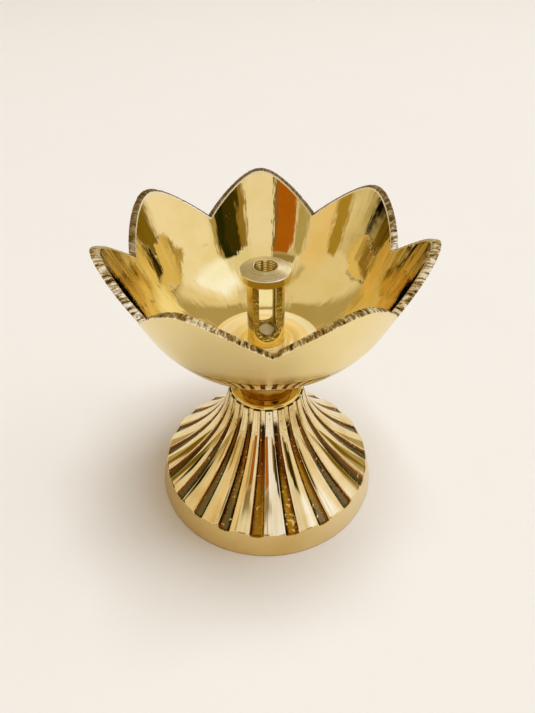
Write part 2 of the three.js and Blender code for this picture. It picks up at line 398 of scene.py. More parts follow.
def rib_brass(made):
    """Colour, roughness and height of the ribs: a painted highlight makes them palest in front; darker,
    streaked and pitted near the neck.
    """
    turn, radius, z = made.turn, made.radius, made.z
    # Painted highlight: the ribs in front, facing the camera, are paler and fade off to the sides
    beside_highlight = (turn + 2.0).absolute().between(3.0, 12.0)
    pale = made.blend(beside_highlight, BRIGHT_BRASS, RIB_PALE)
    deep = made.blend(beside_highlight, WORN_AND_LIT_BRASS, RIB_DEEP)
    deep = made.blend(z.between(24.0, 36.0) * beside_highlight, deep, RIB_NECK)
    colour, rough, fine = polish(made, pale, deep)
    upper = z.between(20.0, 38.0)
    streaks = made.streaks(turn * 1.3, z * 0.03, radius * 0.03, 4.0, 0.6)
    colour = made.blend(streaks.between(0.42, 0.62) * (upper * 0.35 + 0.2), colour, RIB_STREAK)
    colour = made.blend((streaks + upper * 0.05).between(0.66, 0.70) * 0.8, colour, DARK_BRASS)
    pits = made.speckle(made.place, 0.75, 1.0).between(0.70, 0.73) * z.between(27.0, 37.0)
    return made.blend(pits, colour, GRIME_AND_SHADE), rough, fine


def tarnish_and_shade(made, far, skin):
    """Colour of the grooves: tarnish with painted reflection and shade; gold in front, olive at the sides,
    brown and then black higher up, brown on the wall farther round from the camera and black on the nearer
    one.
    """
    turn, z = made.turn, made.z
    veins = made.streaks(turn * 0.45, z * 0.07, 0.0, 3.0)
    # Painted reflection: gold in front, olive towards the sides
    sides = (made.x.absolute() + veins * 14.0).between(15.0, 24.0)
    higher = z + veins * 16.0 - 8.0
    colour = made.blend(sides, GOLD_TARNISH_AND_SHADE, SIDE_REFLECTION_OLIVE)
    colour = made.blend(higher.between(18.0, 25.0) * (1 - sides), colour, BROWN_TARNISH_AND_SHADE)
    colour = made.blend((higher + sides * 6.0).between(29.0, 35.0), colour, GRIME_AND_SHADE)
    # Painted shade on the walls: brown on the wall farther round from the camera, black on the nearer one
    colour = made.blend((far + skin * 0.5).between(0.35, 0.8) * 0.8, colour, BROWN_TARNISH_AND_SHADE)
    colour = made.blend((skin * 0.7 - far).between(0.65, 1.0), colour, GRIME_AND_SHADE)
    colour = made.blend((veins * 0.7 + skin * 0.3).between(0.58, 0.66), colour, GRIME_AND_SHADE)
    # More pale flecks low down in the groove just right of the front
    front_right_flecks = (turn - 7.0).absolute().between(3.0, 8.0, 0.09, 0.0) * z.between(10.0, 22.0, 1.0, 0.0)
    flecks = made.speckle(made.place, 1.2, 4.0, 0.6) + front_right_flecks
    return made.blend(flecks.between(0.62, 0.68) * 0.8, colour, BARE_FLECK)


def fluted_brass(name):
    """The foot: polished ribs, and grooves that no wheel reached, with dark lines at their edges."""
    made = Finish(name)
    edge, hollow, far = [made.attribute(key) for key in GROOVE_MARKS]
    colour, rough, fine = rib_brass(made)
    skin = made.speckle(made.place, 0.8, 4.0, 0.6)
    ragged = made.speckle(made.joined(made.turn, made.radius * 0.3, made.z * 0.3), 0.5, 3.0, 0.6)
    inside = (hollow - made.z.between(31.0, 41.0) * 0.9 + ragged * 0.4).between(0.35, 0.7)
    dark = (edge * 0.75 + ragged * 0.6).between(0.80, 1.0)
    colour = made.blend(inside, colour, tarnish_and_shade(made, far, skin))
    colour = made.blend(dark * 0.9, colour, GRIME_AND_SHADE)
    height = made.speckle(made.place, 7.0, 1.0) * 0.6 + fine + inside * skin * 1.2 - dark * 0.6
    return made.surface(colour, rough + inside * 0.12 + dark * 0.2, height, 0.03)


def brushed(made, pale, deep):
    """Colour, the lines brushed round the lamp's axis, and the cloudy patches."""
    lines = made.streaks(made.turn * 0.05, made.radius * 3.0, made.z * 5.0, 5.0, 0.6)
    cloud = made.speckle(made.place, 12.0, 3.0)
    return made.blend(cloud.between(0.3, 0.75) * 0.7, pale, deep), lines, cloud


def band_brass(name):
    """The foot's band: brushed, and painted paler towards +X as painted light on its lit side."""
    made = Finish(name)
    colour, lines, cloud = brushed(made, BAND_PALE, BAND_DEEP)
    # Painted light: paler towards +X, where the lamps light the band
    colour = made.blend(made.x.between(0.0, 34.0) * 0.7, colour, WORN_AND_LIT_BRASS)
    return made.surface(colour, lines * 0.16 + cloud * 0.06 + 0.20, lines, 0.006)


def shell_brass(name):
    """The bowl's outside: brushed above, and polished towards the stem, where painted shade makes it
    darker.
    """
    made = Finish(name)
    colour, lines, cloud = brushed(made, PALE_BRASS, DEEP_BRASS)
    low = (made.z + cloud * 1.5).between(UNDERSIDE_TOP - 0.5, UNDERSIDE_TOP + 0.5, 1.0, 0.0)
    # Painted shade: the underside is darker
    colour = made.blend(low, colour, SHADED_UNDERSIDE_BRASS)
    rough = lines * 0.16 + cloud * 0.06 + 0.13 - low * 0.19
    return made.surface(colour, rough, lines * 0.2 + cloud + low * 2.0, 0.04)


def chiselled_brass(name):
    """The petals' edge, filed across in short strokes painted with shadow and highlight, and painted darker
    behind as shade.
    """
    made = Finish(name)
    strokes = made.streaks(made.turn * 1.5, made.radius * 0.3, made.z * 0.12, 4.0, 0.65)
    grain = made.speckle(made.place, 0.35, 2.0)
    patches = made.speckle(made.place, 5.0, 3.0)
    cut = strokes * 0.65 + grain * 0.1 + patches * 0.25
    colour = made.blend(cut.between(0.40, 0.48), FILED_SHADOW, FILED_BRASS)
    # Painted highlight on the brightest strokes
    colour = made.blend(cut.between(0.48, 0.56), colour, BRIGHT_BRASS)
    # Painted shade: darker on the back of the edge
    colour = made.blend(made.y.between(0.0, 24.0) * 0.75, colour, FILED_SHADE_BEHIND)
    return made.surface(colour, grain * 0.2 + 0.2, strokes + grain * 0.25, 0.25)


def turned_brass(name, rough, pale, deep, ridge=0.012):
    """Fresh from the lathe: fine rings round the axis."""
    made = Finish(name)
    rings = made.streaks(made.turn * 0.01, made.radius * 4.0, made.z * 4.0, 4.0, 0.65)
    cloud = made.speckle(made.place, 5.0, 2.0)
    colour = made.blend(cloud.between(0.3, 0.8) * 0.5 + rings.between(0.4, 0.6) * 0.4, pale, deep)
    return made.surface(colour, rings * 0.16 + rough, rings, ridge)


def dished_brass(name):
    """The bowl's floor: broad soft rings from the lathe and fine ones between, shiniest in the middle."""
    made = Finish(name)
    broad = made.streaks(made.turn * 0.004, made.radius * 0.42, 2.0, 1.0)
    rings = made.streaks(made.turn * 0.01, made.radius * 3.0, made.z, 4.0, 0.65)
    colour = made.blend(rings.between(0.35, 0.65) * 0.6, DISH_PALE, DISH_LINE)
    colour = made.blend(broad.between(0.35, 0.65) * 0.6, colour, DISH_RING)
    metal = made.radius.between(9.0, 13.0, 0.95, 0.3)
    return made.surface(colour, rings * 0.12 + 0.1, broad + rings * 0.05, 0.25, metal)


def milled_brass(name):
    """Cut by a mill: short marks and a rough skin."""
    made = Finish(name)
    marks = made.streaks(made.x * 0.6, made.y * 0.6, made.z * 3.0, 4.0, 0.6)
    grain = made.speckle(made.place, 0.3, 3.0)
    skin = grain * 0.6 + marks * 0.4
    colour = made.blend(skin.between(0.40, 0.50), GRIME_AND_SHADE, CUT_BRASS)
    colour = made.blend(skin.between(0.56, 0.60), colour, BRIGHT_BRASS)
    return made.surface(colour, grain * 0.25 + 0.08, marks + grain * 0.8, 0.10)


def tube_brass(name):
    """The wick holder's outside: bright at its foot, then dark with old oil that thins out upwards."""
    made = Finish(name)
    colour, rough, fine = polish(made, TUBE_PALE, TUBE_DEEP)
    running_streaks = made.streaks(made.turn * 0.25, made.z * 0.05, 3.0, 3.0)
    low = made.z + running_streaks * 10.0 - 5.0
    oil = made.blend(low.between(71.0, 85.0), OILY_DARK, OILY_GOLD)
    oil = made.blend(made.z.between(FLANGE_Z - 0.5, FLANGE_Z - 0.2), oil, FLANGE_GOLD)
    colour = made.blend(made.z.between(BRIGHT_FOOT_TOP - 0.6, BRIGHT_FOOT_TOP + 0.6), colour, oil)
    height = running_streaks * 0.8 + made.speckle(made.place, 3.0, 2.0) + fine
    return made.surface(colour, rough, height, 0.06)


def zinc_steel(name, pale, deep, metal=1.0):
    """Plated steel, a little cloudy."""
    made = Finish(name)
    cloud = made.speckle(made.place, 3.0, 4.0)
    grain = made.speckle(made.place, 0.25, 2.0)
    colour = made.blend((cloud * 0.5 + grain * 0.5).between(0.35, 0.65), pale, deep)
    return made.surface(colour, cloud * 0.2 + grain * 0.1 + 0.25, grain, 0.01, metal)


def cast_brass_and_contact_shadow(name):
    """The unpolished inside of the foot, sandy and a little dull; also a painted contact shadow along the
    foot's lowest edge.
    """
    made = Finish(name)
    sand = made.speckle(made.place, 0.6, 4.0, 0.6)
    cloud = made.speckle(made.place, 10.0, 3.0)
    colour = made.blend(cloud.between(0.3, 0.7), SAND_PALE, SAND_DEEP)
    return made.surface(colour, sand * 0.3 + 0.35, sand, 0.12)


FLUTED = fluted_brass("fluted_brass")
BAND = band_brass("band_brass")
COLLAR = mirror_brass("collar_brass", 0.04, COLLAR_PALE, COLLAR_DEEP)
CAST_AND_CONTACT_SHADOW = cast_brass_and_contact_shadow("cast_brass_and_contact_shadow")
MIRROR = mirror_brass("polished_brass", 0.12, PALE_BRASS, DEEP_BRASS, streaked=1.0)
SHELL = shell_brass("satin_brass")
CHISELLED = chiselled_brass("chiselled_brass")
DISHED = dished_brass("dished_brass")
SHADED = mirror_brass("shaded_brass", 0.04, SHADED_BRASS, GOLD_TARNISH_AND_SHADE)
TUBE = tube_brass("tube_brass")
MILLED = milled_brass("milled_brass")
THREAD = turned_brass("threaded_brass", 0.08, THREAD_PALE, THREAD_DEEP)
FACED = turned_brass("faced_brass", 0.12, FACE_PALE, FACE_DEEP, 0.07)
CORNER = turned_brass("corner_brass", 0.3, BRIGHT_BRASS, WORN_AND_LIT_BRASS)
STEEL = zinc_steel("zinc_steel", ZINC_PALE, ZINC_DEEP)
# The bolt's end is painted pale gold, a painted reflection of the brass round it, and is not metal so that
# the lamps light it
BOLT_END = zinc_steel("bolt_end", BOLT_END_REFLECTION_PALE, BOLT_END_REFLECTION_DEEP, 0.0)


# Foot

BAND_TAPER = FOOT_RADIUS - BAND_TOP_RADIUS
FOOT_FINISHES = [FLUTED, BAND, CAST_AND_CONTACT_SHADOW, COLLAR]

# The ribs stand this far above the bell, and this share of it is gone at the neck
CROWN = 0.27
CROWN_LOSS = 0.6

# The wall's share of a groove's half width, and how much of the depth follows a flat-bottomed shape
GROOVE_WALL = 0.3
GROOVE_FLATNESS = 0.85

# Half width of the dark line at a groove's edge, as a share of the groove's, and its growth to the neck
EDGE_LINE = 0.14
EDGE_LINE_GROWTH = 0.3

# The ledge between the bell and the collar, and how strongly a dark line is marked on it
LEDGE_LOW = BELL_TOP + 0.12
LEDGE_HIGH = BELL_TOP + 0.15
LEDGE_DARKNESS = 1.3

# The foot's lowest edge gets the cast finish as a painted contact shadow up to this height
CONTACT_SHADOW_HEIGHT = 0.35

# Columns of points across half a flute, from the rib's middle: few on the rib, many at the groove's edge
FLUTE_STEPS = 36
COLUMNS = [(0, 0), (8, 0.255), (14, 0.325), (18, 0.5)]
BELL_ROWS = 44
INSIDE_ROWS = 16

# Degrees by which the flutes are shifted: everywhere, in front, at the right, and in four waves
SHIFTS = (1.6, -3.4, -1.6, 0.8)


def bell(share):
    """Radius and height of the bell's outside: share 0 is at the band, 1 at the neck."""
    rest = 1 - share
    spread = BAND_TOP_RADIUS - NECK_RADIUS - NECK_FLARE
    radius = NECK_RADIUS + NECK_FLARE * rest + spread * rest ** 2
    return radius, BAND_HEIGHT + (BELL_TOP - BAND_HEIGHT) * share


def bell_inward(share):
    """The direction straight into the bell's wall, in the profile's plane."""
    (r0, z0), (r1, z1) = bell(share - 0.001), bell(share + 0.001)
    along = Vector((r1 - r0, z1 - z0)).normalized()
    return Vector((-along.y, along.x))


def bell_inside(share):
    return tuple(Vector(bell(share)) + bell_inward(share) * FOOT_WALL)


def groove(turns, share):
    """Depth below the bell, how near the groove's edge is and how far inside the groove it is."""
    across = (1 - abs(turns - round(turns)) * 2) / GROOVE_SHARE
    edge = max(0.0, 1 - abs(across - 1) / (EDGE_LINE + EDGE_LINE_GROWTH * share * share))
    if across < 1:
        wall = min((1 - across) / GROOVE_WALL, 1)
        hollow = wall * wall * (3 - 2 * wall)
        deep = GROOVE_DEPTH + (NECK_GROOVE_DEPTH - GROOVE_DEPTH) * share
        form = GROOVE_FLATNESS * hollow + (1 - GROOVE_FLATNESS) * (1 - across ** 2)
        return deep * form, edge, hollow
    crown = (across - 1) / (1 / GROOVE_SHARE - 1)
    return -CROWN * crown * (2 - crown) * (1 - CROWN_LOSS * share), edge, 0.0


def column_place(turns):
    """Where an even column goes, counted in flutes from the first rib."""
    rib = round(turns)
    count = abs(turns - rib) * FLUTE_STEPS
    for (c0, t0), (c1, t1) in zip(COLUMNS, COLUMNS[1:]):
        if count <= c1 + 1e-3:
            return rib + math.copysign(t0 + (t1 - t0) * (count - c0) / (c1 - c0), turns - rib)


def column_turn(turns):
    """The azimuth where the column stands: the casting's flutes are a little uneven."""
    everywhere, front, right, waves = SHIFTS
    even = RIB_ANGLE + turns * 2 * math.pi / FLUTES
    turn = even
    for _ in range(4):
        seen = turn - CAMERA_ANGLE
        shift = everywhere + front * math.cos(seen) + right * math.sin(seen) + waves * math.sin(4 * seen)
        turn = even + math.radians(shift)
    return turn


def foot_profile():
    sole = [(38.0, 0.0), (38.6, 0.0), (39.7, 0.0), (FOOT_RADIUS - 0.38, 0.05), (FOOT_RADIUS - 0.1, 0.16)]
    shares = (0.045, 0.1, 0.3, 0.5, 0.7, 0.85, 0.94, 0.97)
    band = [(FOOT_RADIUS - BAND_TAPER * share, BAND_HEIGHT * share) for share in shares]
    shoulder = [(BAND_TOP_RADIUS + 0.01, BAND_HEIGHT - 0.08), (BAND_TOP_RADIUS - 0.07, BAND_HEIGHT + 0.01)]
    outside = [bell(0.004 + 0.996 * (i / BELL_ROWS) ** 1.3) for i in range(BELL_ROWS + 1)]
    collar = [
        (NECK_RADIUS - 0.35, LEDGE_LOW), (COLLAR_RADIUS, LEDGE_HIGH),
        *arc((COLLAR_RADIUS - 1.0, COLLAR_TOP - 1.05), 1.05, 75, 170, 8),
        (10.6, COLLAR_TOP - 0.06), (10.3, COLLAR_TOP), (9.6, COLLAR_TOP), (7.0, COLLAR_TOP),
    ]
    web = [
        (BOLT_HOLE_RADIUS, COLLAR_TOP), (BOLT_HOLE_RADIUS, WEB_UNDERSIDE + 0.3),
        (BOLT_HOLE_RADIUS + 0.3, WEB_UNDERSIDE), (BOLT_ROOM_RADIUS - 0.6, WEB_UNDERSIDE),
        (BOLT_ROOM_RADIUS, WEB_UNDERSIDE - 0.4),
    ]
    inside = [bell_inside((i / INSIDE_ROWS) ** 1.2 * 0.86) for i in range(INSIDE_ROWS + 1)]
    return [*sole, *band, *shoulder, *outside, *collar, *web, *inside[::-1], (37.5, 4.5), (37.8, 2.0)]


def flute(bm):
    """Presses the grooves into the bell and marks each point's place for the finish."""
    edge_layer, hollow_layer, far_layer = [bm.verts.layers.float.new(key) for key in GROOVE_MARKS]
    middle = BAND_HEIGHT / 2
    for v in bm.verts:
        even, radius, height = polar(v.co)
        turns = column_place((even - RIB_ANGLE) * FLUTES / (2 * math.pi))
        turn = column_turn(turns)
        share = min(max((height - BAND_HEIGHT) / (BELL_TOP - BAND_HEIGHT), 0), 1)
        if middle < height < LEDGE_LOW + 0.01 and radius > bell(share)[0] - 0.6:
            depth, edge, hollow = groove(turns, share)
            inward = bell_inward(share) * depth
            if height < BAND_HEIGHT:
                dropped = middle + (height - middle) * (BAND_HEIGHT + inward.y - middle) / middle
                radius += (height - dropped) * BAND_TAPER / BAND_HEIGHT
                height = dropped
            else:
                radius, height = radius + inward.x, height + inward.y
                v[edge_layer], v[hollow_layer] = edge * (0.7 + 0.5 * share ** 2), hollow
                # far tells the groove's wall farther round from the camera from the nearer one, for the
                # painted shade
                beyond = (turns - math.floor(turns) - 0.5) * 2 / GROOVE_SHARE
                v[far_layer] = beyond * min(max(math.sin(turn - CAMERA_ANGLE) * 6, -1), 1)
        if LEDGE_LOW - 0.02 < height < LEDGE_HIGH + 0.01:
            v[edge_layer] = LEDGE_DARKNESS
        v.co = spot(turn, radius, height)


def foot_finish(face, centre):
    radius = math.hypot(centre.x, centre.y)
    outward = faces_out(face, centre)
    # Painted contact shadow along the foot's lowest edge
    if centre.z < CONTACT_SHADOW_HEIGHT and outward:
        return CAST_AND_CONTACT_SHADOW
    on_band = outward and face.normal.z < 0.4 or face.normal.z < -0.5
    if centre.z < BAND_HEIGHT and radius > BAND_TOP_RADIUS - 0.1 and on_band:
        return BAND
    if centre.z < WEB_UNDERSIDE + 0.1 and not outward:
        return CAST_AND_CONTACT_SHADOW
    return COLLAR if centre.z > LEDGE_HIGH + 0.01 else FLUTED


def make_foot():
    bm = spun(foot_profile(), FLUTES * FLUTE_STEPS, FLUTES)
    flute(bm)
    paint(bm, FOOT_FINISHES, foot_finish)
    piece("fluted_foot", bm, FOOT_FINISHES, "base", ["pedestal_foot"], 24)


# Bowl

SLOPE = math.cos(FLARE_ANGLE) / math.sin(FLARE_ANGLE)
PETAL_STEPS = 144
BELLY_ROWS = 18
FLARE_ROWS = 12
BOWL_FINISHES = [MIRROR, SHELL, CHISELLED, DISHED, SHADED, CORNER]

# The bowl's outside stays round up to this height
FLARE_Z = 80.0

# The petals start as a whole cone. Rows within this height of the edge keep their distance from it
EDGE_ROWS = 1.6

# The edge is rounded off over this height
ROUNDING = 0.35

# The file strokes across the edge
STROKE_DEPTH = 0.22
STROKE_SPACING = 1.5
RIM_RADIUS = 46


def belly(wall, angle):
    radius = BELLY_RADIUS - wall
    return BELLY_CENTRE[0] + radius * math.sin(angle), BELLY_CENTRE[1] - radius * math.cos(angle)


INNER_FLARE_Z = belly(RIM_WALL, FLARE_ANGLE)[1]


def flare(wall, height):
    radius, base = belly(wall, FLARE_ANGLE)
    return radius + SLOPE * (height - base)


def flared(wall, start, end, steps):
    """Points from one height to another on the straight part above the belly."""
    heights = [start + (end - start) * i / steps for i in range(steps + 1)]
    return [(flare(wall, height), height) for height in heights]


def petal_fall(share):
    return math.hypot(share, PETAL_ROUNDNESS) - PETAL_ROUNDNESS


def petal_share(turn):
    """1 at a petal's tip, 0 at the notches beside it."""
    turns = (turn - PETAL_ANGLE) * PETALS / (2 * math.pi)
    from_tip = 1 - abs(turns - round(turns)) * 2
    return 1 - petal_fall(from_tip) / petal_fall(1)


def stroke(turn, across):
    """Depth of the file strokes across the petals' edge, from 0 to 1."""
    uneven = 1.5 * noise.noise(Vector((turn * 13, 0, 0)))
    along = turn * RIM_RADIUS / STROKE_SPACING + uneven + 0.4 * across
    deep = max(0.0, math.cos(2 * math.pi * along)) ** 2
    force = 0.5 + 1.2 * noise.noise(Vector((turn * 37, across * 2, 3.0)))
    return min(1.0, max(0.0, deep * force))


def bowl_profile():
    start = math.degrees(math.asin((STEM_RADIUS + STEM_FILLET - BELLY_CENTRE[0]) / BELLY_RADIUS))
    stem_top = belly(0, math.radians(start))[1]
    stem = [
        (BOLT_HOLE_RADIUS, COLLAR_TOP), (6.5, COLLAR_TOP), (STEM_RADIUS - 0.2, COLLAR_TOP),
        (STEM_RADIUS, COLLAR_TOP + 0.2), (STEM_RADIUS, 48.0), (STEM_RADIUS, 52.0),
        (STEM_RADIUS, stem_top - 2.4), (STEM_RADIUS + 0.25, stem_top - 1.3),
        (STEM_RADIUS + 0.9, stem_top - 0.5),
    ]
    flare_start = math.degrees(FLARE_ANGLE)
    edge, rounded = TIP_Z - EDGE_ROWS, TIP_Z - ROUNDING
    outside = [
        *arc(BELLY_CENTRE, BELLY_RADIUS, start, flare_start, BELLY_ROWS),
        *flared(0, FLARE_Z + 1.2, edge - 0.3, FLARE_ROWS),
        *flared(0, edge + 0.1, rounded, 2),
    ]
    rim = [(flare(wall, TIP_Z) - 0.4 * lift, TIP_Z - 0.8 * lift)
           for wall, lift in ((0.12, 0.16), (0.5, 0.02), (1.1, 0.0), (1.7, 0.02), (2.08, 0.16))]
    inside = [
        *flared(RIM_WALL, rounded, edge + 0.1, 2),
        *flared(RIM_WALL, edge - 0.3, INNER_FLARE_Z + 1, FLARE_ROWS),
    ]
    floor_start = math.degrees(math.acos((BELLY_CENTRE[1] - FLOOR_Z) / (BELLY_RADIUS - BELLY_WALL)))
    for i in range(BELLY_ROWS + 1):
        share = 1 - i / BELLY_ROWS
        angle = math.radians(floor_start + (flare_start - floor_start) * share)
        inside.append(belly(BELLY_WALL + (RIM_WALL - BELLY_WALL) * share, angle))
    floor = [(15.0, FLOOR_Z), (10.0, FLOOR_Z), (6.0, FLOOR_Z), (BOLT_HOLE_RADIUS, FLOOR_Z)]
    return [*stem, *outside, *rim, *inside, *floor]


def petalled(turn, radius, height):
    """Draws a point of the cone down to the petals' outline."""
    base = FLARE_Z if radius > flare(RIM_WALL / 2, height) else INNER_FLARE_Z
    if height <= base + 1e-3:
        return radius, height
    rim_z = NOTCH_Z + (TIP_Z - NOTCH_Z) * petal_share(turn)
    if height > TIP_Z - EDGE_ROWS:
        moved = height - (TIP_Z - rim_z)
    else:
        moved = base + (height - base) * (rim_z - EDGE_ROWS - base) / (TIP_Z - EDGE_ROWS - base)
    return radius + SLOPE * (moved - height), moved


def make_bowl():
    bm = spun(bowl_profile(), PETALS * PETAL_STEPS, PETALS * 4)
    rim_layer = bm.verts.layers.float.new("rim")
    for v in bm.verts:
        v[rim_layer] = 1.0 if v.co.z / MM > TIP_Z - 0.5 else 0.0
    reshape(bm, petalled)
    for v in bm.verts:
        if v[rim_layer] > 0.5:
            turn, radius, height = polar(v.co)
            across = (radius - flare(RIM_WALL, height)) / RIM_WALL
            v.co.z -= STROKE_DEPTH * MM * stroke(turn, across)

    def bowl_finish(face, centre):
        on_rim = [v[rim_layer] > 0.5 for v in face.verts]
        if all(on_rim):
            return CHISELLED
        if centre.z < FLOOR_Z + 0.05 and face.normal.z > 0.9:
            return DISHED
        if faces_out(face, centre):
            return SHELL if centre.z > BELLY_BOTTOM else SHADED
        return CORNER if any(on_rim) else MIRROR

    paint(bm, BOWL_FINISHES, bowl_finish)
    piece("petalled_bowl", bm, BOWL_FINISHES, "base", ["lotus_bowl"], 50)


# Wick holder

THREAD_STEP = THREAD_PITCH / 8
THREAD_DEPTH = 0.24
SLOT_CHAMFER = 0.2
HOLDER_FINISHES = [TUBE, MILLED, THREAD, FACED, CORNER]


def thread_rows(radius, low, high):
    """Points up a cylinder, close enough together for a thread."""
    return [(radius, low + i * THREAD_STEP) for i in range(round((high - low) / THREAD_STEP) + 1)]


def threaded(radius, depth):
    """Moves points of that radius outwards along a screw line."""
    def move(turn, here, height):
        if abs(here - radius) > 0.01:
            return here, height
        phase = (height / THREAD_PITCH - turn / (2 * math.pi)) % 1.0
        return here + depth * (1 - abs(2 * phase - 1)), height
    return move


def bar(radius, length, axis, place):
    """A round bar along the X or Y axis."""
    bm = bmesh.new()
    turn = Matrix.Rotation(math.pi / 2, 4, "Y" if axis == "X" else "X")
    bmesh.ops.create_cone(bm, cap_ends=True, segments=96, radius1=radius * MM, radius2=radius * MM,
                          depth=length * MM, matrix=Matrix.Translation(Vector(place) * MM) @ turn)
    return bm


def block(corner, opposite):
    """A block between two of its corners."""
    bm = bmesh.new()
    size = [abs(b - a) * MM for a, b in zip(corner, opposite)]
    middle = [(a + b) / 2 for a, b in zip(corner, opposite)]
    place = Matrix.Translation(Vector(middle) * MM) @ Matrix.Diagonal((*size, 1))
    bmesh.ops.create_cube(bm, size=1.0, matrix=place)
    return bm


def cut(obj, cutters, finish):
    """Takes the cutters out of the piece; the cut faces get that finish."""
    finishes = list(obj.data.materials)
    for bm in cutters:
        mesh = bpy.data.meshes.new("cutter")
        for face in bm.faces:
            face.material_index = finishes.index(finish)
        bm.to_mesh(mesh)
        bm.free()
        for material in finishes:
            mesh.materials.append(material)
        tool = placed("cutter", mesh)
        change = obj.modifiers.new("cut", "BOOLEAN")
        change.operation, change.solver, change.object = "DIFFERENCE", "EXACT", tool
        bpy.context.view_layer.update()
        done = bpy.data.meshes.new_from_object(obj.evaluated_get(bpy.context.evaluated_depsgraph_get()))
        obj.modifiers.clear()
        obj.data = done
        bpy.data.objects.remove(tool)


def holder_profile():
    bore = thread_rows(BORE_RADIUS, HOLDER_Z + 0.35, HOLDER_TOP + 0.65)
    return [
        (BORE_RADIUS + 0.4, HOLDER_Z), (HOLDER_RADIUS - 0.25, HOLDER_Z), (HOLDER_RADIUS, HOLDER_Z + 0.25),
        (HOLDER_RADIUS, 72.0), (HOLDER_RADIUS, 80.0), (HOLDER_RADIUS, FLANGE_Z - 0.1),
        (HOLDER_RADIUS + 0.1, FLANGE_Z), (FLANGE_RADIUS - 0.15, FLANGE_Z), (FLANGE_RADIUS, FLANGE_Z + 0.15),
        (FLANGE_RADIUS, HOLDER_TOP - 0.2), (FLANGE_RADIUS - 0.2, HOLDER_TOP + 0.02),
        (6.6, HOLDER_TOP + 0.37), (5.2, HOLDER_TOP + 0.75),
        (BORE_RADIUS + 0.35, HOLDER_TOP + 1.1), (BORE_RADIUS + 0.12, HOLDER_TOP + 1.0),
        *bore[::-1],
    ]


def holder_finish(face, centre):
    radius = math.hypot(centre.x, centre.y)
    if radius < BORE_RADIUS + 0.02:
        return THREAD
    if centre.z < HOLDER_Z + 0.25 and radius > HOLDER_RADIUS - 0.3:
        return CORNER
    return FACED if centre.z > HOLDER_TOP - 0.2 else TUBE


def holder_cutters():
    """The flats on both sides of the tube, and the slot through it from front to back."""
    flat_z, slot_z, window_top = HOLDER_Z + FLAT_START, HOLDER_Z + SLOT_CENTRE, FLANGE_Z - WINDOW_TOP_GAP
    reach, beyond = FLANGE_RADIUS + 1, 17
    cutters = []
    for side in (-1, 1):
        centre = side * (FLAT_DISTANCE + FLAT_CUTTER_RADIUS)
        cutters.append(block((-reach, side * FLAT_DISTANCE, flat_z), (reach, side * beyond, window_top)))
        cutters.append(bar(FLAT_CUTTER_RADIUS, 2 * reach, "X", (0, centre, flat_z)))
    cutters.append(block((-SLOT_RADIUS, -reach, slot_z), (SLOT_RADIUS, reach, window_top)))
    cutters.append(bar(SLOT_RADIUS, 2 * reach, "Y", (0, 0, slot_z)))
    return cutters


def make_holder():
    bm = spun(holder_profile(), 128)
    paint(bm, HOLDER_FINISHES, holder_finish)
    reshape(bm, threaded(BORE_RADIUS, THREAD_DEPTH))
    obj = piece("slotted_holder", bm, HOLDER_FINISHES, "holder", ["wick_holder"])
    cut(obj, holder_cutters(), MILLED)
    bm = bmesh.new()
    bm.from_mesh(obj.data)
    bmesh.ops.remove_doubles(bm, verts=bm.verts, dist=2e-6)
    tube, milled = HOLDER_FINISHES.index(TUBE), HOLDER_FINISHES.index(MILLED)
    mouths = [e for e in bm.edges if {f.material_index for f in e.link_faces} == {tube, milled}]
    bevel(bm, mouths, SLOT_CHAMFER, 1, HOLDER_FINISHES.index(CORNER), True)
    bm.to_mesh(obj.data)
    bm.free()
    smooth(obj.data, 30)


# Bolt and washers

THREAD_ROOT_RADIUS = 3.05
BOLT_THREAD_DEPTH = 0.14
WASHER_EDGE = 0.12
HEAD_EDGE = 0.35
SPRING_WASHER_GAP = math.radians(11)
BOLT_FINISHES = [STEEL, BOLT_END]


def make_washer(name, radius, bottom, top, finish, body, node):
    soft = min(WASHER_EDGE, (top - bottom) / 4)
    hole = BOLT_HOLE_RADIUS
    profile = [
        (hole, bottom + soft), (hole + soft, bottom), (radius - soft, bottom), (radius, bottom + soft),
        (radius, top - soft), (radius - soft, top), (hole + soft, top), (hole, top - soft),
    ]
    piece(name, spun(profile, 96), [finish], body, [node])


def make_spring_washer():
    bm = bmesh.new()
    low, high = SPRING_WASHER_UNDERSIDE, PLAIN_WASHER_UNDERSIDE
    corners = [(BOLT_HOLE_RADIUS, low), (SPRING_WASHER_RADIUS, low),
               (SPRING_WASHER_RADIUS, high), (BOLT_HOLE_RADIUS, high)]
    verts = [bm.verts.new((r * MM, 0, z * MM)) for r, z in corners]
    first = bm.faces.new(verts)
    turn = Matrix.Rotation(SPRING_WASHER_GAP / 2, 3, "Z")
    bmesh.ops.rotate(bm, verts=verts, cent=(0, 0, 0), matrix=turn)
    section = [first] + verts + list(first.edges)
    bmesh.ops.spin(bm, geom=section, cent=(0, 0, 0), axis=(0, 0, 1), dvec=(0, 0, 0),
                   angle=2 * math.pi - SPRING_WASHER_GAP, steps=80, use_merge=False, use_duplicate=False)
    bmesh.ops.remove_doubles(bm, verts=bm.verts, dist=1e-7)
    bmesh.ops.recalc_face_normals(bm, faces=bm.faces)
    bevel(bm, [e for e in bm.edges if e.calc_face_angle(0) > 1.0], WASHER_EDGE, 2)
    piece("split_washer", bm, [STEEL], "base", ["spring_washer"])


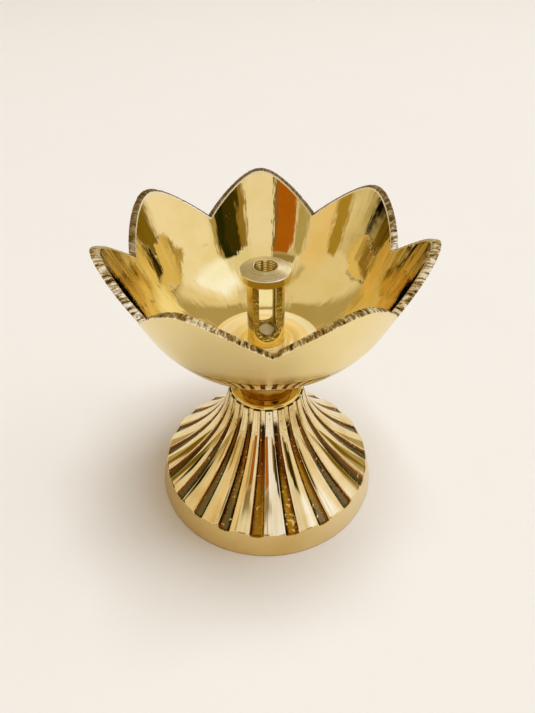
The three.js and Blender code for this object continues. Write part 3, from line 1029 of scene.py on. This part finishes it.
def make_bolt():
    head_z = SPRING_WASHER_UNDERSIDE - HEAD_HEIGHT / 2
    thread = thread_rows(THREAD_ROOT_RADIUS, BOLT_TIP - 3.9, BOLT_TIP - 0.6)
    shank = [
        (0, 30.5), (BOLT_RADIUS, 30.5), (BOLT_RADIUS, 34.5), (BOLT_RADIUS, 50.0), (BOLT_RADIUS, 63.2),
        (BOLT_RADIUS - 0.45, 63.5), *thread, (2.7, BOLT_TIP - 0.2), (2.4, BOLT_TIP), (0, BOLT_TIP),
    ]
    bm = spun(shank, 96, closed=False)
    reshape(bm, threaded(THREAD_ROOT_RADIUS, BOLT_THREAD_DEPTH))
    head = bmesh.new()
    place = Matrix.Translation((0, 0, head_z * MM)) @ Matrix.Rotation(math.pi / 6, 4, "Z")
    bmesh.ops.create_cone(head, cap_ends=True, segments=6, radius1=HEAD_CORNER_RADIUS * MM,
                          radius2=HEAD_CORNER_RADIUS * MM, depth=HEAD_HEIGHT * MM, matrix=place)
    bevel(head, list(head.edges), HEAD_EDGE, 3)
    mesh = bpy.data.meshes.new("head")
    head.to_mesh(mesh)
    head.free()
    bm.from_mesh(mesh)
    bpy.data.meshes.remove(mesh)
    bmesh.ops.recalc_face_normals(bm, faces=bm.faces)
    paint(bm, BOLT_FINISHES, lambda face, centre: BOLT_END if centre.z > BOLT_TIP - 1 else STEEL)
    piece("through_bolt", bm, BOLT_FINISHES, "base", ["clamp_bolt"])


make_foot()
make_bowl()
make_holder()
make_washer("thin_washer", SEAL_WASHER_RADIUS, FLOOR_Z, HOLDER_Z, CORNER,
            "turning_washer", "seal_washer")
make_washer("flat_washer", PLAIN_WASHER_RADIUS, PLAIN_WASHER_UNDERSIDE, WEB_UNDERSIDE, STEEL,
            "base", "plain_washer")
make_spring_washer()
make_bolt()


# Studio

FLOOR_PALE = (0.97, 0.935, 0.885, 1)
FLOOR_DEEP = (0.948, 0.905, 0.845, 1)
LAMP_COLOUR = (0.858, 0.9115, 0.985)
LAMP_DISTANCE = 6.0
WALL_COLOUR = (0.47, 0.37, 0.19, 1)
CEILING_COLOUR = (1.00, 0.98, 0.96, 1)
FILL_COLOUR = (0.28, 0.215, 0.13, 1)
BACKDROP_COLOUR = (0.90, 0.85, 0.76, 1)

# What the brass mirrors: azimuth, half width, lowest and highest elevation, softness, all in degrees,
# and colour. Each one covers the ones before it
SURROUNDINGS = [
    (20, 64, -40, 72, 8, (0.84, 0.78, 0.70, 1)),
    (-83, 31, 12, 76, 6, (0.80, 0.70, 0.54, 1)),
    (-52, 11, -6, 44, 3, (0.84, 0.66, 0.42, 1)),
    (97, 20, 22, 76, 6, (0.84, 0.74, 0.60, 1)),
    (77, 25, 6, 70, 5, (0.94, 0.87, 0.84, 1)),
    (70, 22, 34, 64, 5, (1.08, 1.16, 1.60, 1)),
    (-16, 18, 37, 46, 2.5, (0.32, 0.24, 0.11, 1)),
    (4, 12, -2, 44, 3, (0.90, 0.83, 0.82, 1)),
    (-68, 5, 6, 22, 2, (0.40, 0.26, 0.04, 1)),
    (-34, 5, 6, 36, 2, (0.46, 0.38, 0.19, 1)),
    (-18, 8.5, 2, 37, 1.2, (0.42, 0.125, 0.006, 1)),
    (-9, 1.2, 2, 36, 0.8, (0.20, 0.12, 0.03, 1)),
    (23, 5, 4, 30, 2, (0.30, 0.19, 0.04, 1)),
    (46, 4, 8, 37, 2, (0.42, 0.33, 0.13, 1)),
    (39, 7, 16, 37, 1.5, (0.018, 0.020, 0.002, 1)),
    (32, 6.5, 9, 33, 1.5, (0.045, 0.034, 0.003, 1)),
    (-99, 5.5, 10, 22, 2, (0.006, 0.004, 0.002, 1)),
    (-114, 9, -6, 14, 2, (0.20, 0.12, 0.01, 1)),
    (112, 8, -10, 14, 2, (0.22, 0.14, 0.01, 1)),
    (158, 20, 18, 40, 4, (1.10, 1.00, 0.78, 1)),
]


def sine(degrees):
    return math.sin(math.radians(degrees))


def cosine(degrees):
    return math.cos(math.radians(degrees))


def towards(azimuth, elevation):
    """A direction: azimuth 0 is where the camera stands, 90 is the picture's right."""
    turn, rise = math.radians(azimuth) + CAMERA_ANGLE, math.radians(elevation)
    return Vector((math.sin(turn) * math.cos(rise), -math.cos(turn) * math.cos(rise), math.sin(rise)))


def make_floor():
    bm = bmesh.new()
    bmesh.ops.create_grid(bm, x_segments=2, y_segments=2, size=4.0)
    mesh = bpy.data.meshes.new("floor")
    bm.to_mesh(mesh)
    bm.free()
    obj = placed("floor", mesh)
    made = Finish("floor")
    cloud = made.speckle(made.place, 60.0, 3.0)
    grain = made.speckle(made.place, 0.9, 3.0)
    colour = made.blend(cloud * 0.6 + grain * 0.4, FLOOR_PALE, FLOOR_DEEP)
    mesh.materials.append(made.surface(colour, 0.85, grain, 0.05, 0.0))


def make_lamp(name, direction, size, power):
    light = bpy.data.lights.new(name, "AREA")
    light.shape = "SQUARE"
    light.size = size
    light.energy = power
    light.color = LAMP_COLOUR
    obj = placed(name, light)
    obj.visible_glossy = False
    obj.location = Vector((0, 0, 0.05)) + direction * LAMP_DISTANCE
    obj.rotation_euler = direction.to_track_quat("Z", "Y").to_euler()


def make_world():
    world = bpy.data.worlds.new("room")
    bpy.context.scene.world = world
    made = Nodes(world)
    direction = made.node("ShaderNodeTexCoord", None, None, "Generated")
    up = made.parts(direction)[2]
    level = made.vector_math("NORMALIZE", {0: made.vector_math("MULTIPLY", {0: direction, 1: (1, 1, 0)})})
    colour = made.blend(up.between(sine(70), sine(84)), WALL_COLOUR, CEILING_COLOUR)
    for middle, half, low, high, soft, tint in SURROUNDINGS:
        near = made.vector_math("DOT_PRODUCT", {0: level, 1: towards(middle, 0)}, "Value")
        across = near.between(cosine(half + soft), cosine(half - soft))
        above = up.between(sine(low - soft), sine(low + soft))
        below = up.between(sine(high - soft), sine(high + soft), 1.0, 0.0)
        colour = made.blend(across * above * below, colour, tint)
    rays = made.node("ShaderNodeLightPath").socket.node
    colour = made.blend(Tone(made, rays.outputs["Is Glossy Ray"]), FILL_COLOUR, colour)
    colour = made.blend(Tone(made, rays.outputs["Is Camera Ray"]), colour, BACKDROP_COLOUR)
    shader = made.node("ShaderNodeBackground", None, {"Color": colour, "Strength": 1.0})
    made.node("ShaderNodeOutputWorld", None, {"Surface": shader})


def make_camera():
    """The photograph is 535 pixels wide, and its focal length was found to be 560 pixels."""
    camera = bpy.data.cameras.new("camera")
    camera.sensor_fit = "HORIZONTAL"
    camera.sensor_width = 36.0
    camera.lens = camera.sensor_width * 560 / 535
    camera.clip_start = 0.01
    obj = placed("camera", camera)
    yaw, pitch, roll = 0.003, 0.6721, -0.0039
    round_lamp = Matrix.Rotation(CAMERA_ANGLE, 4, "Z")
    place = Matrix.Translation((0, -0.14867, 0.17418))
    tilt = Matrix.Rotation(math.pi / 2 - pitch, 4, "X") @ Matrix.Rotation(roll, 4, "Z")
    obj.matrix_world = round_lamp @ place @ Matrix.Rotation(-yaw, 4, "Z") @ tilt
    bpy.context.scene.camera = obj


make_floor()
make_lamp("ceiling", towards(110, 84), 2.9, 268.0)
make_lamp("window", towards(95, 50), 4.5, 60.0)
make_world()
make_camera()

bpy.context.scene.view_settings.view_transform = "Standard"
